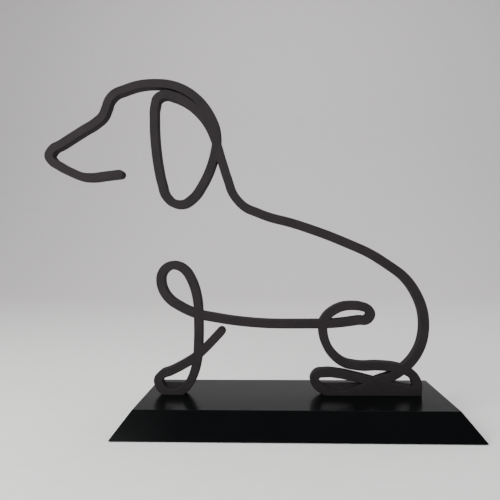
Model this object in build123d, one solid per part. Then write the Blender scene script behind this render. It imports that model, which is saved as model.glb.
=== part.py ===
"""One-line dachshund ornament: a dog drawn with a single flat line, plugged into a bevelled plinth.

Millimetres, +Z up, +X towards the dog's rump, +Y away from the viewer. The origin is the centre
of the plinth's underside. The dog is one printed piece of constant line width and depth. Its two
paws run down into tenons, which plug into two sockets in the plinth, and it lifts straight out.
"""

import math
import os

from build123d import *

# Plinth
plinth_length = 180.0
plinth_depth = 82.0
plinth_height = 12.4
bevel_inset = 9.4
plinth_edge_radius = 0.5

# Dog, over its outline and above the plinth's top. The heel's height is to the line's centre.
dog_length = 209.8
dog_height = 173.5
line_width = 4.8
line_depth = 6.5
heel_height = 2.25

# Tenons under the paws, and the thin webs that fill the foot of each paw's loop
tenon_length = 8.0
tenon_shoulder = 0.5
socket_clearance = 0.2
web_thickness = 2.4
web_height = 6.0

# Anti-slip pads under the plinth
pad_radius = 5.0
pad_thickness = 1.0
pad_stand_off = 0.5
pad_edge_margin = 9.0
pad_clearance = 0.15

# The drawing of the line: x from the plinth's centre and z above its top, at the drawn size.
# The line starts at the corner of the mouth and runs to the heel.
MUZZLE = [(-94.4, 121.6), (-102, 120.8), (-110, 120), (-115, 120.4), (-121.1, 122.8), (-128, 126.4),
          (-132.4, 129.5), (-134, 132.6), (-132.7, 135.2), (-126, 139.4), (-115, 146.1)]
BROW = [(-108, 150.2), (-103.8, 153.8), (-101.6, 158.4), (-100.2, 162.3), (-97.2, 165.8)]
CROWN = [(-91, 168.4), (-82, 170.8), (-74, 171.2), (-66, 170.4), (-58, 167.5), (-50.5, 162),
         (-44.5, 154.4), (-41.2, 147), (-40.4, 139.5)]
EAR = [(-41.5, 132), (-44, 123.8), (-48, 115.5), (-53.5, 107.9), (-59, 104.5), (-64, 105),
       (-68.3, 108.7), (-71, 116.5), (-73, 126.5), (-74.4, 139), (-74.8, 150), (-74.4, 158.5),
       (-72.8, 163.2), (-69, 165), (-63.5, 163.8), (-56, 160), (-49.5, 154.2), (-44.5, 147)]
BACK = [(-40.8, 138.5), (-37.8, 128.5), (-34.8, 118.8), (-31.2, 109.2), (-25.8, 103.1),
        (-17, 98.9), (5, 92.1), (26.1, 84.1), (47.1, 73.8), (64.6, 58.9), (71, 41.5), (67.6, 23.4),
        (56.3, 11.6), (44.6, 6.9)]
REAR_PAW = [(37, 3.2), (30, 0.4), (23.8, -0.1), (17.5, 2.4), (13, 5.8), (11.9, 8.6),
            (13.2, 11), (18, 12), (25.5, 11.4), (34, 9.6), (44.6, 6.9)]
SOLE = [(53, 4.8), (60.5, 3.2), (66.8, 2.3)]

# The line turns back sharply at the heel and runs on to the end of its tail stroke.
HOCK = [(66.8, 2.3), (66.8, 7), (64.7, 10.8), (60.8, 13.3), (55, 15), (48, 15.7), (34.5, 15.9),
        (28.3, 17.3), (22.2, 21.8), (18.4, 27.8), (16.8, 34.5)]
THIGH = [(17, 39.5), (19.2, 43), (23, 46), (28, 48), (33, 48.4), (37.6, 47.9), (41.2, 46.4),
         (42.5, 43.8), (41.2, 41.3), (35, 40.3)]
BELLY = [(26, 39.1), (4, 38.5), (-18, 39), (-39.5, 41.6), (-54, 44.8)]
ELBOW = [(-61, 48.1), (-66.8, 52), (-70.4, 56.8), (-71.8, 61.5), (-71.4, 66), (-69, 69.4),
         (-65.5, 71), (-61.6, 70.4), (-58, 67.8), (-55, 63), (-52.8, 57)]
FORELEG = [(-51.5, 50), (-51.2, 41), (-51.3, 30), (-52.2, 18.5), (-53.8, 12), (-56.1, 6.9)]
FRONT_PAW = [(-59.6, 2.8), (-65, 0.8), (-70, 2), (-73, 5.2), (-73.6, 8.2), (-71.5, 10.8)]
TAIL_STROKE = [(-67, 12.6), (-60, 16.1), (-53.5, 20.1), (-47.5, 25.4), (-42.8, 30.2), (-38.8, 34.5)]

FIRST_LINE = MUZZLE + BROW + CROWN + EAR + BACK + REAR_PAW + SOLE
SECOND_LINE = HOCK + THIGH + BELLY + ELBOW + FORELEG + FRONT_PAW + TAIL_STROKE
KNOTS_PER_STROKE = 9

# Outline of the drawn centre line, which the dog's real size is scaled from
DRAWN_LENGTH = 71 - -134
DRAWN_HEIGHT = 171.2 - 2.3


def placed(knot):
    """A drawn knot at the dog's real size, in plan coordinates with v above the plinth's top."""
    scale_x = (dog_length - line_width) / DRAWN_LENGTH
    scale_z = (dog_height - line_width / 2 - heel_height) / DRAWN_HEIGHT
    return Vector(knot[0] * scale_x, heel_height + (knot[1] - 2.3) * scale_z)


def tangents(points):
    """The direction at each knot: that of the circle through it and its two neighbours."""
    inner = []
    for before, here, after in zip(points, points[1:], points[2:]):
        back, ahead = here - before, after - here
        inner.append((back / back.length**2 + ahead / ahead.length**2).normalized())
    first, last = points[1] - points[0], points[-1] - points[-2]
    return [mirrored(inner[0], first)] + inner + [mirrored(inner[-1], last)]


def mirrored(direction, chord):
    """The far end's direction on the arc that has this chord and this direction at one end."""
    along = chord.normalized()
    return along * (2 * direction.dot(along)) - direction


def arc_nodes(points):
    """Points and directions along the line, with a pair of tangent arcs between two knots."""
    nodes = []
    directions = tangents(points)
    for start, end, leave, arrive in zip(points, points[1:], directions, directions[1:]):
        chord = end - start
        bend = 2 * (1 - leave.dot(arrive))
        along = chord.dot(leave + arrive)
        reach = chord.dot(chord) / (along + math.sqrt(along**2 + bend * chord.dot(chord)))
        near, far = start + leave * reach, end - arrive * reach
        nodes += [(start, leave), ((near + far) / 2, (far - near).normalized())]
    return nodes + [(points[-1], directions[-1])]


def side_edges(nodes, offset):
    """The arcs that run beside a stretch of the line, at a signed distance to its left."""
    moved = [(point + Vector(-way.Y, way.X) * offset, way) for point, way in nodes]
    edges = []
    for (start, way), (end, _) in zip(moved, moved[1:]):
        straight = abs(way.cross(end - start).Z) < 1e-4 * (end - start).length
        edges.append(Line(start, end) if straight else TangentArc(start, end, tangent=way))
    return edges


def stroke(nodes, round_start, round_end):
    """One stretch of the line as a flat face, with a round or a straight end at each side."""
    half = line_width / 2
    left, right = side_edges(nodes, half), side_edges(nodes, -half)
    caps = []
    for (point, way), is_round, sign in ((nodes[0], round_start, -1), (nodes[-1], round_end, 1)):
        side = Vector(-way.Y, way.X) * half
        if is_round:
            caps.append(ThreePointArc(point + side, point + way * (sign * half), point - side))
        else:
            caps.append(Line(point + side, point - side))
    face = Face(Wire(left + right + caps))
    return face if face.normal_at().Z > 0 else -face


def line_strokes(knots):
    """The whole run of one line, cut at knots into strokes that never cross themselves."""
    nodes = arc_nodes([placed(knot) for knot in knots])
    step = 2 * KNOTS_PER_STROKE
    cuts = list(range(0, len(nodes) - 1 - step // 2, step)) + [len(nodes) - 1]
    faces = []
    for start, end in zip(cuts, cuts[1:]):
        faces.append(stroke(nodes[start:end + 1], start == 0, end == len(nodes) - 1))
    return faces


def paw_web(knots):
    """The thin web in the foot of a paw's loop, as a flat face on the line's centre."""
    loop = make_face(Polyline([placed(knot) for knot in knots], close=True))
    span = loop.bounding_box()
    foot = Pos(span.center().X, web_height - plinth_height / 2) * Rectangle(
        span.size.X, plinth_height)
    return loop & foot


def rear_foot():
    """The solid foot from the rear paw's loop to the heel, as a flat face down to the plinth."""
    above = [placed(knot) for knot in REAR_PAW[1::-1] + BACK[-1:] + SOLE]
    heel_x = above[-1].X + line_width / 2
    corner = Vector(heel_x, above[-1].Y)
    return make_face(Polyline(above + [corner, Vector(heel_x, 0), Vector(above[0].X, 0)],
                              close=True))


def dip(knots):
    """The stretch of x over which a paw's outline dips below the plinth's top."""
    paw = stroke(arc_nodes([placed(knot) for knot in knots]), False, False)
    below = Pos(0, -plinth_height / 2) * Rectangle(2 * plinth_length, plinth_height)
    span = (paw & below).bounding_box()
    return span.min.X - tenon_shoulder, span.max.X + tenon_shoulder


def upright(flat, depth):
    """A flat face from the drawing, stood up on the plinth's top and given its depth."""
    solid = extrude(flat, amount=depth / 2, both=True)
    return Pos(0, 0, plinth_height) * Rot(90, 0, 0) * solid


def tenon(span, gap):
    """A tenon's block below the plinth's top, or with a gap the socket that takes it."""
    block = Box(span[1] - span[0] + 2 * gap, line_depth + 2 * gap, tenon_length,
                align=(Align.CENTER, Align.CENTER, Align.MAX))
    return Pos((span[0] + span[1]) / 2, 0, plinth_height) * block


def make_dog():
    """The whole dog: its line, the webs in its paws and the tenons below them."""
    strokes = line_strokes(FIRST_LINE) + line_strokes(SECOND_LINE)
    pieces = [upright(flat, line_depth) for flat in strokes]
    pieces.append(upright(paw_web(REAR_PAW), web_thickness))
    pieces.append(upright(paw_web(FORELEG[-3:] + FRONT_PAW + TAIL_STROKE[:3]), web_thickness))
    pieces.append(upright(rear_foot(), line_depth))
    pieces += [tenon(span, 0) for span in tenon_spans]
    return pieces[0].fuse(*pieces[1:])


def pad_places():
    """Where the four pads go: name and centre of each."""
    x = plinth_length / 2 - pad_edge_margin - pad_radius
    y = plinth_depth / 2 - pad_edge_margin - pad_radius
    return {
        "pad_front_left": (-x, -y),
        "pad_front_right": (x, -y),
        "pad_back_left": (-x, y),
        "pad_back_right": (x, y),
    }


def make_plinth():
    """The bevelled slab, with its two sockets on top and four pad recesses underneath."""
    top_length, top_depth = plinth_length - 2 * bevel_inset, plinth_depth - 2 * bevel_inset
    slab = loft([Rectangle(plinth_length, plinth_depth),
                 Pos(0, 0, plinth_height) * Rectangle(top_length, top_depth)])
    slab = fillet(slab.edges().filter_by(lambda edge: edge.center().Z > 0.1), plinth_edge_radius)
    for span in tenon_spans:
        slab -= tenon(span, socket_clearance)
    recess_depth = pad_thickness - pad_stand_off
    for x, y in pad_places().values():
        slab -= Pos(x, y, recess_depth / 2) * Cylinder(pad_radius + pad_clearance, recess_depth)
    return slab


def make_pad(x, y):
    """One round pad, pressed into its recess and standing proud of the underside."""
    return Pos(x, y, pad_thickness / 2 - pad_stand_off) * Cylinder(pad_radius, pad_thickness)


front_span = dip(FORELEG[-2:] + FRONT_PAW)
rear_span = (dip(BACK[-1:] + REAR_PAW[:7])[0], placed(SOLE[-1]).X + line_width / 2)
tenon_spans = [front_span, rear_span]

os.makedirs("parts", exist_ok=True)
export_step(make_plinth(), "parts/plinth.step")
export_step(make_dog(), "parts/dog_line.step")
for pad_name, (pad_x, pad_y) in pad_places().items():
    export_step(make_pad(pad_x, pad_y), f"parts/{pad_name}.step")
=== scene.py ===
"""Looks of a one-line dachshund ornament: a printed flat black line on a gloss black bevelled plinth."""

import math

import bpy
import numpy as np
from bpy.props import FloatProperty, FloatVectorProperty, PointerProperty
from mathutils import Matrix, Vector, geometry


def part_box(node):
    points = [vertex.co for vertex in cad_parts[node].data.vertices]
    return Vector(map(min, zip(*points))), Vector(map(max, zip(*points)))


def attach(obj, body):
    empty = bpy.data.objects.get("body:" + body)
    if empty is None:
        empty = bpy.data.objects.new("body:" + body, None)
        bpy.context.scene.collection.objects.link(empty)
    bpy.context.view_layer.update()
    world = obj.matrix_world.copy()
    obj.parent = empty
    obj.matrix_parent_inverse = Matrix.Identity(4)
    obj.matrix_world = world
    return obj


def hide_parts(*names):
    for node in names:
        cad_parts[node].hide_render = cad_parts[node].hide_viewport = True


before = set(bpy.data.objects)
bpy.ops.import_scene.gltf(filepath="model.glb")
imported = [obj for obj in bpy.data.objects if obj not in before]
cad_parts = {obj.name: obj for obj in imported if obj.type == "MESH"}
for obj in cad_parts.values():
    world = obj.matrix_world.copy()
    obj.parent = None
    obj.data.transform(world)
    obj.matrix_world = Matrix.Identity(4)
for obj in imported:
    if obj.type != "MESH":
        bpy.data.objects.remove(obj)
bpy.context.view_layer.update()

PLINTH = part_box("plinth")
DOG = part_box("dog_line")

bl_info = {
    "name": "One-line dachshund ornament",
    "version": (1, 0, 0),
    "blender": (4, 5, 0),
    "location": "View3D > Sidebar > Ornament",
    "description": "Builds the printed line, its paw webs, the plinth's finish and a plain stage",
    "category": "Object",
}

MM = 0.001

# The drawing of the line, in millimetres: x from the plinth's centre and z above its top.
# The first line runs from the corner of the mouth over the head, round the ear, along the back
# and round the rear paw to the heel.
MUZZLE = [(-94.4, 121.6), (-102, 120.8), (-110, 120), (-115, 120.4), (-121.1, 122.8), (-128, 126.4),
          (-132.4, 129.5), (-134, 132.6), (-132.7, 135.2), (-126, 139.4), (-115, 146.1)]
BROW = [(-108, 150.2), (-103.8, 153.8), (-101.6, 158.4), (-100.2, 162.3), (-97.2, 165.8)]
CROWN = [(-91, 168.4), (-82, 170.8), (-74, 171.2), (-66, 170.4), (-58, 167.5), (-50.5, 162),
         (-44.5, 154.4), (-41.2, 147), (-40.4, 139.5)]
EAR = [(-41.5, 132), (-44, 123.8), (-48, 115.5), (-53.5, 107.9), (-59, 104.5), (-64, 105),
       (-68.3, 108.7), (-71, 116.5), (-73, 126.5), (-74.4, 139), (-74.8, 150), (-74.4, 158.5),
       (-72.8, 163.2), (-69, 165), (-63.5, 163.8), (-56, 160), (-49.5, 154.2), (-44.5, 147)]
BACK = [(-40.8, 138.5), (-37.8, 128.5), (-34.8, 118.8), (-31.2, 109.2), (-25.8, 103.1),
        (-17, 98.9), (5, 92.1), (26.1, 84.1), (47.1, 73.8), (64.6, 58.9), (71, 41.5), (67.6, 23.4),
        (56.3, 11.6), (44.6, 6.9)]
REAR_PAW = [(37, 3.2), (30, 0.4), (23.8, -0.1), (17.5, 2.4), (13, 5.8), (11.9, 8.6),
            (13.2, 11), (18, 12), (25.5, 11.4), (34, 9.6), (44.6, 6.9)]
SOLE = [(53, 4.8), (60.5, 3.2), (66.8, 2.3)]

# The second line turns back sharply at the heel and runs by the thigh, the belly, the foreleg
# and the front paw to the end of its tail stroke.
HOCK = [(66.8, 2.3), (66.8, 7), (64.7, 10.8), (60.8, 13.3), (55, 15), (48, 15.7), (34.5, 15.9),
        (28.3, 17.3), (22.2, 21.8), (18.4, 27.8), (16.8, 34.5)]
THIGH = [(17, 39.5), (19.2, 43), (23, 46), (28, 48), (33, 48.4), (37.6, 47.9), (41.2, 46.4),
         (42.5, 43.8), (41.2, 41.3), (35, 40.3)]
BELLY = [(26, 39.1), (4, 38.5), (-18, 39), (-39.5, 41.6), (-54, 44.8)]
ELBOW = [(-61, 48.1), (-66.8, 52), (-70.4, 56.8), (-71.8, 61.5), (-71.4, 66), (-69, 69.4),
         (-65.5, 71), (-61.6, 70.4), (-58, 67.8), (-55, 63), (-52.8, 57)]
FORELEG = [(-51.5, 50), (-51.2, 41), (-51.3, 30), (-52.2, 18.5), (-53.8, 12), (-56.1, 6.9)]
FRONT_PAW = [(-59.6, 2.8), (-65, 0.8), (-70, 2), (-73, 5.2), (-73.6, 8.2), (-71.5, 10.8)]
TAIL_STROKE = [(-67, 12.6), (-60, 16.1), (-53.5, 20.1), (-47.5, 25.4), (-42.8, 30.2),
               (-38.8, 34.5)]

FIRST_LINE = np.array(MUZZLE + BROW + CROWN + EAR + BACK + REAR_PAW + SOLE, float)
SECOND_LINE = np.array(
    HOCK + THIGH + BELLY + ELBOW + FORELEG + FRONT_PAW + TAIL_STROKE, float)

# The solid foot under the rear crossing and the sole, from its left end to the heel
FOOT_TOP = REAR_PAW[1::-1] + BACK[-1:] + SOLE

# The webs in the feet of the two paws, closed by a level top edge
WEB_TOP = 6
REAR_WEB = [(12.95, WEB_TOP)] + REAR_PAW[4::-1] + [(42.5, WEB_TOP)]
FRONT_WEB = [(-73.2, WEB_TOP)] + FRONT_PAW[3::-1] + [(-56.8, WEB_TOP)]

# The drawn centre line's outline and its height at the heel, as drawn and over the real plinth
DRAWN_LENGTH = (71 - -134) * MM
DRAWN_HEEL = 2.3
HEEL_HEIGHT = 2.25 * MM
DRAWN_HEIGHT = (171.2 - DRAWN_HEEL) * MM

# Where the two paws lie along the plinth: the front one before the first x, the rear one
# between the plinth's centre and the second
FRONT_PAW_END = -50 * MM
REAR_PAW_END = 35 * MM

TENON_SHOULDER = 0.5 * MM
SAMPLES_PER_ARC = 6
ROUNDING_STEPS = 4
CAP_STEPS = 18
FLAT_MARGIN = 0.1 * MM
MERGE_DISTANCE = 1e-6


# ---------------------------------------------------------------- shapes

def placed(knots, width):
    """Knots of the drawing stretched so that the stroked line fills the CAD dog's outline above
    the heel, in metres: x scaled about the plinth's centre, z from the heel's height up."""
    low, high = DOG
    scale_x = (high.x - low.x - width) / DRAWN_LENGTH
    top = high.z - width / 2
    heel_z = PLINTH[1].z + HEEL_HEIGHT
    scale_z = (top - heel_z) / DRAWN_HEIGHT
    x = knots[:, 0] * MM * scale_x
    z = heel_z + (knots[:, 1] - DRAWN_HEEL) * MM * scale_z
    return np.stack([x, z], 1)


def unit(vectors):
    """Each row divided by its own length."""
    return vectors / np.linalg.norm(vectors, axis=-1, keepdims=True)


def turned(vectors, angle):
    """Rows turned by an angle each: (x cos a - y sin a, x sin a + y cos a)."""
    c, s = np.cos(angle), np.sin(angle)
    x, y = vectors[..., 0], vectors[..., 1]
    return np.stack([x * c - y * s, x * s + y * c], -1)


def line_path(knots):
    """Centre line through the knots. The direction at a knot is that of the circle through it and
    its neighbours, and two arcs that meet smoothly join each pair of knots. A point on an arc
    with chord c and half turn h is start + c sin(k h) / sin(h) along the start's direction turned
    by k h, for k from 0 to 1. Returns points, directions and the distance run."""
    steps = np.diff(knots, axis=0)
    pull = steps / (steps**2).sum(1, keepdims=True)
    inner = unit(pull[:-1] + pull[1:])
    chords = unit(steps)
    first = 2 * (inner[0] @ chords[0]) * chords[0] - inner[0]
    last = 2 * (inner[-1] @ chords[-1]) * chords[-1] - inner[-1]
    ways = np.vstack([first, inner, last])
    leave, arrive = ways[:-1], ways[1:]
    along = (steps * (leave + arrive)).sum(1)
    bend = 2 * (1 - (leave * arrive).sum(1))
    size = (steps**2).sum(1)
    reach = (size / (along + np.sqrt(along**2 + bend * size)))[:, None]
    near, far = knots[:-1] + leave * reach, knots[1:] - arrive * reach
    middles, middle_ways = (near + far) / 2, unit(far - near)
    starts = np.stack([knots[:-1], middles], 1).reshape(-1, 2)
    ends = np.stack([middles, knots[1:]], 1).reshape(-1, 2)
    start_ways = np.stack([leave, middle_ways], 1).reshape(-1, 2)
    chord = ends - starts
    cross = start_ways[:, 0] * chord[:, 1] - start_ways[:, 1] * chord[:, 0]
    half = np.arctan2(cross, (start_ways * chord).sum(1))[:, None]
    k = np.arange(SAMPLES_PER_ARC)[None, :] / SAMPLES_PER_ARC
    share = k * np.sinc(k * half / math.pi) / np.sinc(half / math.pi)
    length = np.linalg.norm(chord, axis=1)[:, None, None]
    way0 = np.repeat(start_ways[:, None, :], SAMPLES_PER_ARC, 1)
    points = starts[:, None, :] + length * share[..., None] * turned(way0, k * half)
    ways = turned(way0, 2 * k * half)
    points = np.vstack([points.reshape(-1, 2), knots[-1:]])
    ways = np.vstack([ways.reshape(-1, 2), arrive[-1:]])
    run = np.r_[0, np.cumsum(np.linalg.norm(np.diff(points, axis=0), axis=1))]
    return points, ways, run


def rim_steps(rounding):
    """Distances in from an outline: r (1 - cos a) for even angles a over the rounded edge, and one
    more just past it that keeps the flat beyond it flat."""
    a = np.linspace(0, math.pi / 2, ROUNDING_STEPS + 1)
    return np.r_[rounding * (1 - np.cos(a)), rounding + FLAT_MARGIN]


def grid_faces(rows, columns):
    """Four-cornered faces of a grid of points stored row by row."""
    i = np.arange(rows * columns).reshape(rows, columns)
    return np.stack([i[:-1, :-1], i[1:, :-1], i[1:, 1:], i[:-1, 1:]], -1).reshape(-1, 4)


def ribbon(path, width, rounding):
    """The flat stroke: each station of the path moved sideways by every place across it."""
    points, ways, _ = path
    edge = width / 2 - rim_steps(rounding)
    across = np.r_[-edge, 0, edge[::-1]]
    normals = np.stack([-ways[:, 1], ways[:, 0]], 1)
    grid = points[:, None, :] + normals[:, None, :] * across[None, :, None]
    return grid.reshape(-1, 2), grid_faces(len(points), len(across))


def round_end(path, end, width, rounding):
    """The round end of a stroke: its half section swung half a turn about the end point, outwards
    from the stroke. A point is centre + radius (cos t, sin t)."""
    points, ways, _ = path
    outward = ways[end] * (-1 if end == 0 else 1)
    middle = math.atan2(outward[1], outward[0])
    t = middle + np.linspace(-math.pi / 2, math.pi / 2, CAP_STEPS + 1)
    radii = np.r_[width / 2 - rim_steps(rounding), 0]
    arm = np.stack([np.cos(t), np.sin(t)], 1)
    grid = points[end] + arm[:, None, :] * radii[None, :, None]
    return grid.reshape(-1, 2), grid_faces(len(t), len(radii))


def block(low, high, rounding):
    """A rectangle as a grid with close lines over its rounded rim."""
    rim = rim_steps(rounding)
    x = np.r_[low[0] + rim, (high[0] - rim)[::-1]]
    z = np.r_[low[1] + rim, (high[1] - rim)[::-1]]
    grid = np.stack(np.meshgrid(x, z, indexing="ij"), -1)
    return grid.reshape(-1, 2), grid_faces(len(x), len(z))


def dip(points, width, level):
    """Where round pens of the line's width, run along the points, cross a level: the lowest and
    highest x of x -+ sqrt(r^2 - h^2), where h is a point's height over the level."""
    height = points[:, 1] - level
    near = np.abs(height) < width / 2
    reach = np.sqrt((width / 2)**2 - height[near]**2)
    return (points[near, 0] - reach).min(), (points[near, 0] + reach).max()


def foot_blocks(first, second, width):
    """The blocks under the line as low and high corners: the front tenon, the rear tenon and the
    post under the heel. They reach down to the CAD dog's lowest point."""
    bottom, top = DOG[0].z, PLINTH[1].z
    heel = second[0][0]
    front = dip(second[0][second[0][:, 0] < FRONT_PAW_END], width, top)
    rear = dip(first[0][(first[0][:, 0] > 0) & (first[0][:, 0] < REAR_PAW_END)], width, top)
    return [
        ((front[0] - TENON_SHOULDER, bottom), (front[1] + TENON_SHOULDER, top)),
        ((rear[0] - TENON_SHOULDER, bottom), (heel[0] + width / 2, top)),
        ((heel[0] - width / 2, bottom), (heel[0] + width / 2, heel[1])),
    ]


def foot_outline(width):
    """Outline of the solid foot, anticlockwise: the sole's knots, closed below at half the
    tenons' depth."""
    top = placed(np.array(FOOT_TOP, float), width)
    level = (DOG[0].z + PLINTH[1].z) / 2
    return np.vstack([[(top[0, 0], level), (top[-1, 0], level)], top[::-1]])


def inside_distance(points, paths, blocks, fill, width):
    """How far each point is inside the outline: for the line, half its width less the distance to
    its nearest straight piece, for a block the least distance to a side, and the most of these.
    Inside the solid foot it is the whole half width."""
    inside = np.full(len(points), -1.0)
    for path in paths:
        start, step = path[0][:-1], np.diff(path[0], axis=0)
        size = (step**2).sum(1)
        for part in np.array_split(np.arange(len(points)), 1 + len(points) // 2000):
            away = points[part, None, :] - start[None]
            k = np.clip((away * step).sum(-1) / size, 0, 1)
            gap = np.linalg.norm(away - k[..., None] * step, axis=-1).min(1)
            inside[part] = np.maximum(inside[part], width / 2 - gap)
    for low, high in blocks:
        sides = np.hstack([points - np.array(low), np.array(high) - points])
        inside = np.maximum(inside, sides.min(1))
    return np.where(within(points, fill), np.maximum(inside, width / 2), inside)


def within(points, outline):
    """Whether each point is inside an outline: a level ray from it crosses the outline's edges an
    odd number of times."""
    x, z = points[:, :1], points[:, 1:]
    x0, z0 = outline[:, 0], outline[:, 1]
    x1, z1 = np.roll(x0, -1), np.roll(z0, -1)
    rise = np.where(z1 == z0, 1, z1 - z0)
    crossed = ((z0 > z) != (z1 > z)) & (x < x0 + (z - z0) * (x1 - x0) / rise)
    return crossed.sum(1) % 2 == 1


def merged(members):
    """One flat triangle mesh of all the overlapping grids, with the last grid's face on top. It
    returns points, triangles and the number of each triangle's topmost face."""
    counts = np.cumsum([0] + [len(points) for points, _ in members])
    points = np.vstack([points for points, _ in members])
    faces = []
    for (_, own), shift in zip(members, counts):
        faces += (own + shift).tolist()
    corners = list(map(Vector, (points / MM).tolist()))
    found = geometry.delaunay_2d_cdt(corners, [], faces, 1, MERGE_DISTANCE, True)
    flat = np.array([tuple(v) for v in found[0]], float) * MM
    triangles = np.array(found[2], int)
    owners = np.array([max(o, default=-1) for o in found[5]])
    triangles, owners = triangles[owners >= 0], owners[owners >= 0]
    a, b, c = (flat[triangles[:, i]] for i in range(3))
    area = (b[:, 0] - a[:, 0]) * (c[:, 1] - a[:, 1]) - (b[:, 1] - a[:, 1]) * (c[:, 0] - a[:, 0])
    triangles[area < 0] = triangles[area < 0][:, ::-1]
    used, triangles = np.unique(triangles, return_inverse=True)
    return flat[used], triangles.reshape(-1, 3), owners


def stroke_places(flat, triangles, owners, ribbons):
    """Distance along and across the stroke for each corner of each triangle, measured on the
    middle of the ribbon's piece that lies on top. Elsewhere they are x and z."""
    corner = flat[triangles]
    places = corner.copy()
    first = 0
    for (points, ways, run), columns in ribbons:
        station = (owners - first) // columns
        mine = (owners >= first) & (station < len(points) - 1)
        s = station[mine]
        way = unit(ways[s] + ways[s + 1])[:, None, :]
        away = corner[mine] - ((points[s] + points[s + 1]) / 2)[:, None, :]
        along = (away * way).sum(-1) + ((run[s] + run[s + 1]) / 2)[:, None]
        across = away[..., 1] * way[..., 0] - away[..., 0] * way[..., 1]
        places[mine] = np.stack([along, across], -1)
        first += columns * (len(points) - 1)
    return places


def thickened(name, flat, triangles, half_depth, places):
    """A closed shell from a flat triangle mesh: its front at y = -half_depth, its back the mirror
    of that, and a wall between them on every edge that has a triangle on one side only."""
    count = len(flat)
    front = np.stack([flat[:, 0], -half_depth, flat[:, 1]], 1)
    back = front * (1, -1, 1)
    pairs = np.stack([triangles, np.roll(triangles, -1, 1)], -1).reshape(-1, 2)
    key = pairs.min(1) * count + pairs.max(1)
    _, inverse, uses = np.unique(key, return_inverse=True, return_counts=True)
    rim = np.flatnonzero(uses[inverse] == 1)
    a, b = pairs[rim, 0], pairs[rim, 1]
    walls = np.stack([b, a, a + count, b + count], 1)
    mesh = bpy.data.meshes.new(name)
    faces = triangles.tolist() + (triangles[:, ::-1] + count).tolist() + walls.tolist()
    mesh.from_pydata(np.vstack([front, back]).tolist(), [], faces)
    ahead = np.roll(places, -1, 1).reshape(-1, 2)[rim]
    here = places.reshape(-1, 2)[rim]
    uv = np.vstack([places.reshape(-1, 2), places[:, ::-1].reshape(-1, 2),
                    np.stack([ahead, here, here, ahead], 1).reshape(-1, 2)])
    mesh.uv_layers.new(name="stroke").data.foreach_set("uv", uv.astype(np.float32).ravel())
    mesh.shade_smooth()
    mesh.set_sharp_from_angle(angle=math.radians(30))
    mesh.validate()
    return mesh


def add_piece(mesh, body, material):
    """A new object for a mesh that is already in place, riding on a CAD body."""
    piece = bpy.data.objects.new(mesh.name, mesh)
    bpy.context.scene.collection.objects.link(piece)
    mesh.materials.append(material)
    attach(piece, body)
    return piece


# ---------------------------------------------------------------- materials

def linear(code):
    """Linear colour from an sRGB hex code."""
    parts = [int(code[i:i + 2], 16) / 255 for i in (1, 3, 5)]
    return [c / 12.92 if c <= 0.04045 else ((c + 0.055) / 1.055)**2.4 for c in parts] + [1.0]


def add(tree, kind, values=(), **settings):
    """Adds a node with its settings, and gives each socket its value or the output it reads."""
    node = tree.nodes.new(kind)
    for name, value in settings.items():
        setattr(node, name, value)
    for socket, value in dict(values).items():
        if isinstance(value, bpy.types.NodeSocket):
            tree.links.new(value, node.inputs[socket])
        else:
            node.inputs[socket].default_value = value
    return node


def start_material(name):
    """A cleared node material with its Principled shader, and that shader."""
    material = bpy.data.materials.new(name)
    material.use_nodes = True
    tree = material.node_tree
    tree.nodes.clear()
    shader = add(tree, "ShaderNodeBsdfPrincipled")
    add(tree, "ShaderNodeOutputMaterial", {"Surface": shader.outputs[0]})
    return material, tree, shader


def wave_scale(period):
    """Scale that makes the Wave texture repeat once in a real length: its bands turn 20 radians
    for each metre at scale 1."""
    return math.tau / 20 / period


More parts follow.
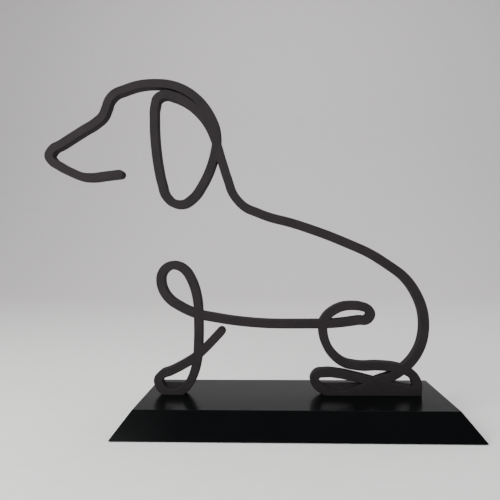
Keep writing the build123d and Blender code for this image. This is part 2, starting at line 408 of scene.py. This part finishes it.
def printed_pla(settings):
    """Black PLA, laid down as molten threads side by side along the stroke and left unsanded.
    Matt, with fine lines that follow the stroke on the flat faces and run round the walls layer
    by layer. The threads are 0.4 mm and the layers 0.2 mm, which is too fine to see from here, so
    the lines are drawn twice as coarse."""
    material, tree, shader = start_material("black_pla_printed")
    place = add(tree, "ShaderNodeTexCoord")
    uv, solid = place.outputs["UV"], place.outputs["Object"]
    threads = add(tree, "ShaderNodeTexWave", {
        "Vector": uv, "Scale": wave_scale(2 * settings.thread_width), "Distortion": 0.6,
        "Detail": 1.0, "Detail Scale": 0.05}, bands_direction="Y")
    layers = add(tree, "ShaderNodeTexWave", {
        "Vector": solid, "Scale": wave_scale(2 * settings.layer_height), "Distortion": 0.4,
        "Detail": 1.0, "Detail Scale": 0.05}, bands_direction="Y")
    # Melt flow: blotches 6 mm long where the plastic cooled more or less shiny
    flow = add(tree, "ShaderNodeTexNoise", {"Vector": solid, "Scale": 160.0, "Detail": 3.0})
    grain = add(tree, "ShaderNodeTexNoise", {"Vector": solid, "Scale": 2500.0, "Detail": 2.0})
    relief = add(tree, "ShaderNodeMath", {0: threads.outputs["Fac"], 1: layers.outputs["Fac"]},
                 operation="ADD")
    rough_relief = add(tree, "ShaderNodeMath", {0: grain.outputs["Fac"], 1: 0.35,
                                                2: relief.outputs[0]}, operation="MULTIPLY_ADD")
    bump = add(tree, "ShaderNodeBump", {"Strength": 0.5, "Distance": 0.04 * MM,
                                        "Height": rough_relief.outputs[0]})
    # Colour: along the thread lines it is darker in the grooves and lighter on the crowns, a painted
    # shade and painted highlight that follow the relief; the melt flow blotches add random tone on top
    tone = add(tree, "ShaderNodeMath", {0: threads.outputs["Fac"], 1: 0.5,
                                        2: flow.outputs["Fac"]}, operation="MULTIPLY_ADD")
    colour = add(tree, "ShaderNodeMapRange", {
        "Value": tone.outputs[0], "From Min": 0.3, "From Max": 1.2}, clamp=True)
    thread_shade_and_flow_tone = add(tree, "ShaderNodeMix", {
        "Factor": colour.outputs[0], 6: settings.dark, 7: settings.light},
        data_type="RGBA")
    gloss = add(tree, "ShaderNodeMapRange", {
        "Value": flow.outputs["Fac"], "From Min": 0.3, "From Max": 0.7,
        "To Min": settings.roughness - 0.07, "To Max": settings.roughness + 0.07})
    links = {"Base Color": thread_shade_and_flow_tone.outputs[2], "Roughness": gloss.outputs[0],
             "Normal": bump.outputs[0]}
    for socket, output in links.items():
        tree.links.new(output, shader.inputs[socket])
    shader.inputs["IOR"].default_value = 1.13
    return material


def gloss_plastic(settings):
    """Black gloss plastic with a worn, satin shine. It mirrors the room softly, with a slight
    ripple in the skin, 3 mm from hump to hump, and a few faint rub marks."""
    material, tree, shader = start_material("black_gloss_plastic")
    solid = add(tree, "ShaderNodeTexCoord").outputs["Object"]
    ripple = add(tree, "ShaderNodeTexNoise", {"Vector": solid, "Scale": 330.0, "Detail": 1.0})
    bump = add(tree, "ShaderNodeBump", {"Strength": 0.12, "Distance": 0.02 * MM,
                                        "Height": ripple.outputs["Fac"]})
    rub = add(tree, "ShaderNodeTexNoise", {"Vector": solid, "Scale": 28.0, "Detail": 5.0,
                                           "Roughness": 0.6})
    gloss = add(tree, "ShaderNodeMapRange", {
        "Value": rub.outputs["Fac"], "From Min": 0.35, "From Max": 0.7,
        "To Min": settings.roughness - 0.03, "To Max": settings.roughness + 0.05})
    tone = add(tree, "ShaderNodeMix", {
        "Factor": rub.outputs["Fac"], 6: settings.dark, 7: settings.light},
        data_type="RGBA")
    links = {"Base Color": tone.outputs[2], "Roughness": gloss.outputs[0],
             "Normal": bump.outputs[0]}
    for socket, output in links.items():
        tree.links.new(output, shader.inputs[socket])
    shader.inputs["IOR"].default_value = 1.1
    return material


def foam_rubber(settings):
    """Black nitrile rubber sheet, die cut. Dead matt with a pebbled skin, 0.8 mm from pebble to
    pebble."""
    material, tree, shader = start_material("black_rubber_sheet")
    solid = add(tree, "ShaderNodeTexCoord").outputs["Object"]
    pebbles = add(tree, "ShaderNodeTexVoronoi", {"Vector": solid, "Scale": 1250.0})
    bump = add(tree, "ShaderNodeBump", {"Strength": 0.4, "Distance": 0.05 * MM,
                                        "Height": pebbles.outputs["Distance"]})
    # Colour follows the pebbled bump: darker where the skin is low and lighter where it is high, a
    # painted shade and painted highlight
    tone = add(tree, "ShaderNodeMix", {
        "Factor": pebbles.outputs["Distance"], 6: settings.dark,
        7: settings.light}, data_type="RGBA")
    tree.links.new(tone.outputs[2], shader.inputs["Base Color"])
    tree.links.new(bump.outputs[0], shader.inputs["Normal"])
    shader.inputs["Roughness"].default_value = settings.roughness
    return material


def seamless_paper(settings):
    """Seamless background paper, pale and dead matt, with a faint pulp mottle 8 mm across."""
    material, tree, shader = start_material("seamless_paper")
    solid = add(tree, "ShaderNodeTexCoord").outputs["Object"]
    pulp = add(tree, "ShaderNodeTexNoise", {"Vector": solid, "Scale": 120.0, "Detail": 3.0})
    tone = add(tree, "ShaderNodeMix", {
        "Factor": pulp.outputs["Fac"], 6: settings.paper_dark,
        7: settings.paper_light}, data_type="RGBA")
    tree.links.new(tone.outputs[2], shader.inputs["Base Color"])
    shader.inputs["Roughness"].default_value = 0.9
    return material


# ---------------------------------------------------------------- settings

def colour(name, description, code):
    """A colour setting whose default is an sRGB hex code."""
    return FloatVectorProperty(name=name, description=description, default=linear(code), size=4,
                               min=0, max=1, subtype="COLOR")


def length(name, description, millimetres):
    """A length setting, kept in metres."""
    return FloatProperty(name=name, description=description, default=millimetres * MM, min=0,
                         unit="LENGTH", precision=5)


class LineSettings(bpy.types.PropertyGroup):
    """Sizes and finish of the printed line."""
    line_width: length("Line width", "Width of the drawn line seen from the front", 4.8)
    rounding: length("Edge rounding", "Radius of the line's front and back edges", 0.45)
    web_thickness: length("Web thickness", "Thickness of the web in the foot of a paw", 2.4)
    thread_width: length("Thread width", "Width of one printed thread", 0.41)
    layer_height: length("Layer height", "Height of one printed layer", 0.2)
    # Dark is the painted shade in the grooves between threads and light the painted highlight on their
    # crowns; the flow blotches also mix between them as random tone
    dark: colour("Dark", "Plastic between the threads", "#272325")
    light: colour("Light", "Plastic on the crown of a thread", "#322d2f")
    roughness: FloatProperty(name="Roughness", description="How matt the plastic is",
                             default=0.7, min=0, max=1, subtype="FACTOR")


class PlinthSettings(bpy.types.PropertyGroup):
    """Finish of the plinth."""
    dark: colour("Dark", "Plastic", "#08090a")
    light: colour("Light", "Plastic where it is rubbed", "#0c0d0e")
    roughness: FloatProperty(name="Roughness", description="How blurred its reflections are",
                             default=0.2, min=0, max=1, subtype="FACTOR")


class PadSettings(bpy.types.PropertyGroup):
    """Finish of the anti-slip pads."""
    # Dark is painted shade where the pebbled skin is low, light a painted highlight where it is high
    dark: colour("Dark", "Rubber between the pebbles", "#0d0d0d")
    light: colour("Light", "Rubber on the pebbles", "#1b1b1b")
    roughness: FloatProperty(name="Roughness", description="How matt the rubber is",
                             default=0.85, min=0, max=1, subtype="FACTOR")


class StageSettings(bpy.types.PropertyGroup):
    """Floor, light and camera."""
    paper_dark: colour("Paper shade", "Darker mottle of the paper", "#e6e3e3")
    paper_light: colour("Paper", "Lighter mottle of the paper", "#f0eded")
    camera_place: FloatVectorProperty(
        name="Camera place", description="Where the camera stands", subtype="XYZ",
        unit="LENGTH", default=(-8.4 * MM, -297.5 * MM, 91.2 * MM), precision=4)
    camera_turn: FloatVectorProperty(
        name="Camera turn", description="Camera's pan to the right, tilt up and roll",
        subtype="EULER", unit="ROTATION",
        default=(math.radians(-2.74), math.radians(0.03), math.radians(-0.48)))
    lens: FloatProperty(name="Lens", description="Focal length on a 36 mm sensor",
                        default=38.95, min=1, unit="CAMERA")
    key_power: FloatProperty(name="Key light", description="Power of the front softbox",
                             default=7.0, min=0, unit="POWER")
    room_light: FloatProperty(name="Room light", description="Strength of the even room light",
                              default=0.45, min=0)


# ---------------------------------------------------------------- operators

class ORNAMENT_OT_line(bpy.types.Operator):
    """Build the dog's printed line with its feet and tenons as one closed shell"""
    bl_idname = "ornament.line"
    bl_label = "Printed line"

    def execute(self, context):
        settings = context.scene.ornament_line
        width, rounding = settings.line_width, settings.rounding
        half_depth = DOG[1].y
        paths = [line_path(placed(knots, width)) for knots in (FIRST_LINE, SECOND_LINE)]
        first, second = paths
        blocks = foot_blocks(first, second, width)
        fill = foot_outline(width)
        members = [ribbon(path, width, rounding) for path in paths]
        columns = 2 * (ROUNDING_STEPS + 2)
        ribbons = [(path, columns) for path in paths]
        members += [round_end(first, 0, width, rounding), round_end(first, -1, width, rounding),
                    round_end(second, -1, width, rounding)]
        members += [block(low, high, rounding) for low, high in blocks]
        members.append((fill, np.arange(len(fill))[None, :]))
        flat, triangles, owners = merged(members)
        places = stroke_places(flat, triangles, owners, ribbons)
        inside = np.clip(inside_distance(flat, paths, blocks, fill, width), 0, rounding)
        depth = half_depth - rounding + np.sqrt(rounding**2 - (rounding - inside)**2)
        mesh = thickened("printed_line", flat, triangles, depth, places)
        piece = add_piece(mesh, "figure", printed_pla(settings))
        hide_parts("dog_line")
        return {"FINISHED"}


class ORNAMENT_OT_webs(bpy.types.Operator):
    """Build the thin webs in the feet of the two paws"""
    bl_idname = "ornament.webs"
    bl_label = "Paw webs"

    def execute(self, context):
        settings = context.scene.ornament_line
        material = printed_pla(settings)
        for name, knots in (("front_paw_web", FRONT_WEB), ("rear_paw_web", REAR_WEB)):
            flat = placed(np.array(knots, float), settings.line_width)
            corners = np.arange(len(flat))[None, :]
            depth = np.full(len(flat), settings.web_thickness / 2)
            mesh = thickened(name, flat, corners, depth, flat[corners])
            add_piece(mesh, "figure", material)
        return {"FINISHED"}


class ORNAMENT_OT_plinth(bpy.types.Operator):
    """Give the plinth its gloss finish"""
    bl_idname = "ornament.plinth"
    bl_label = "Plinth finish"

    def execute(self, context):
        finish_node("plinth", gloss_plastic(context.scene.ornament_plinth))
        return {"FINISHED"}


class ORNAMENT_OT_pads(bpy.types.Operator):
    """Give the anti-slip pads their rubber"""
    bl_idname = "ornament.pads"
    bl_label = "Pad finish"

    def execute(self, context):
        rubber = foam_rubber(context.scene.ornament_pads)
        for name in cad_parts:
            if name.startswith("pad_"):
                finish_node(name, rubber)
        return {"FINISHED"}


class ORNAMENT_OT_stage(bpy.types.Operator):
    """Set up the pale floor, the soft lights and the camera"""
    bl_idname = "ornament.stage"
    bl_label = "Stage"

    def execute(self, context):
        settings = context.scene.ornament_stage
        floor = bpy.data.objects.new("stage_paper", paper_sweep())
        floor.data.materials.append(seamless_paper(settings))
        context.scene.collection.objects.link(floor)
        softbox("key_light", (-0.38, -0.36, 0.34), 0.35, settings.key_power * 0.6, "#f6fff9")
        softbox("side_light", (0.9, -0.35, 0.5), 0.5, settings.key_power * 0.35, "#f4f7ff")
        softbox("wall_light", (0.0, 0.35, 1.3), 0.9, settings.key_power * 1.5, "#fffdfb")
        world = bpy.data.worlds.new("room")
        world.use_nodes = True
        sky = world.node_tree.nodes["Background"].inputs
        sky["Color"].default_value = linear("#e9e8ea")
        sky["Strength"].default_value = settings.room_light
        context.scene.world = world
        place_camera(settings)
        return {"FINISHED"}


def finish_node(name, material):
    """Puts one material on a CAD node."""
    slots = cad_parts[name].data.materials
    slots.clear()
    slots.append(material)


def paper_sweep():
    """The paper: a floor line, a quarter circle and an upright line, carried along x."""
    floor_z = min(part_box(name)[0].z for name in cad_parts)
    turn = np.linspace(0, math.pi / 2, 25)
    radius, start = 0.45, 0.75
    near_edge, top_edge, half_width = -2.0, 2.4, 2.6
    y = np.r_[near_edge, start + radius * np.sin(turn), start + radius]
    z = floor_z + np.r_[0, radius * (1 - np.cos(turn)), top_edge]
    x = np.array([-half_width, half_width])
    grid = np.stack(np.broadcast_arrays(x[:, None], y[None, :], z[None, :]), -1)
    mesh = bpy.data.meshes.new("stage_paper")
    mesh.from_pydata(grid.reshape(-1, 3).tolist(), [], grid_faces(2, len(y)).tolist())
    mesh.shade_smooth()
    return mesh


def softbox(name, place, size, power, code):
    """A square soft light that faces the middle of the dog."""
    lamp = bpy.data.lights.new(name, "AREA")
    lamp.shape = "SQUARE"
    lamp.size = size
    lamp.energy = power
    lamp.color = linear(code)[:3]
    box = bpy.data.objects.new(name, lamp)
    bpy.context.scene.collection.objects.link(box)
    box.location = place
    aim = Vector((0, 0, 0.09)) - box.location
    box.rotation_euler = aim.to_track_quat("-Z", "Y").to_euler()


def place_camera(settings):
    """A camera turned by a pan, a tilt and a roll from looking along +Y."""
    pan, tilt, roll = settings.camera_turn
    ahead = Vector((math.sin(pan) * math.cos(tilt), math.cos(pan) * math.cos(tilt),
                    math.sin(tilt)))
    right = Vector((math.cos(pan), -math.sin(pan), 0))
    up = right.cross(ahead)
    right, up = (right * math.cos(roll) + up * math.sin(roll),
                 up * math.cos(roll) - right * math.sin(roll))
    lens = bpy.data.cameras.new("camera")
    lens.lens = settings.lens
    lens.sensor_width = 36.0
    lens.clip_start = 0.01
    lens.clip_end = 20.0
    camera = bpy.data.objects.new("camera", lens)
    bpy.context.scene.collection.objects.link(camera)
    camera.matrix_world = Matrix.Translation(settings.camera_place) @ Matrix(
        (right, up, -ahead)).transposed().to_4x4()
    bpy.context.scene.camera = camera


class ORNAMENT_PT_panel(bpy.types.Panel):
    """Buttons and settings of the ornament"""
    bl_idname = "ORNAMENT_PT_panel"
    bl_label = "Ornament"
    bl_space_type = "VIEW_3D"
    bl_region_type = "UI"
    bl_category = "Ornament"

    def draw(self, context):
        for operators, settings in (
                ((ORNAMENT_OT_line, ORNAMENT_OT_webs), context.scene.ornament_line),
                ((ORNAMENT_OT_plinth,), context.scene.ornament_plinth),
                ((ORNAMENT_OT_pads,), context.scene.ornament_pads),
                ((ORNAMENT_OT_stage,), context.scene.ornament_stage)):
            box = self.layout.box()
            for operator in operators:
                box.operator(operator.bl_idname)
            for name in settings.__annotations__:
                box.prop(settings, name)


CLASSES = (LineSettings, PlinthSettings, PadSettings, StageSettings, ORNAMENT_OT_line,
           ORNAMENT_OT_webs, ORNAMENT_OT_plinth, ORNAMENT_OT_pads, ORNAMENT_OT_stage,
           ORNAMENT_PT_panel)
SETTINGS = {"ornament_line": LineSettings, "ornament_plinth": PlinthSettings,
            "ornament_pads": PadSettings, "ornament_stage": StageSettings}


def register():
    for item in CLASSES:
        bpy.utils.register_class(item)
    for name, group in SETTINGS.items():
        setattr(bpy.types.Scene, name, PointerProperty(type=group))


def unregister():
    for name in SETTINGS:
        delattr(bpy.types.Scene, name)
    for item in reversed(CLASSES):
        bpy.utils.unregister_class(item)


def main():
    register()
    bpy.ops.ornament.line()
    bpy.ops.ornament.webs()
    bpy.ops.ornament.plinth()
    bpy.ops.ornament.pads()
    bpy.ops.ornament.stage()


if __name__ == "__main__":
    main()
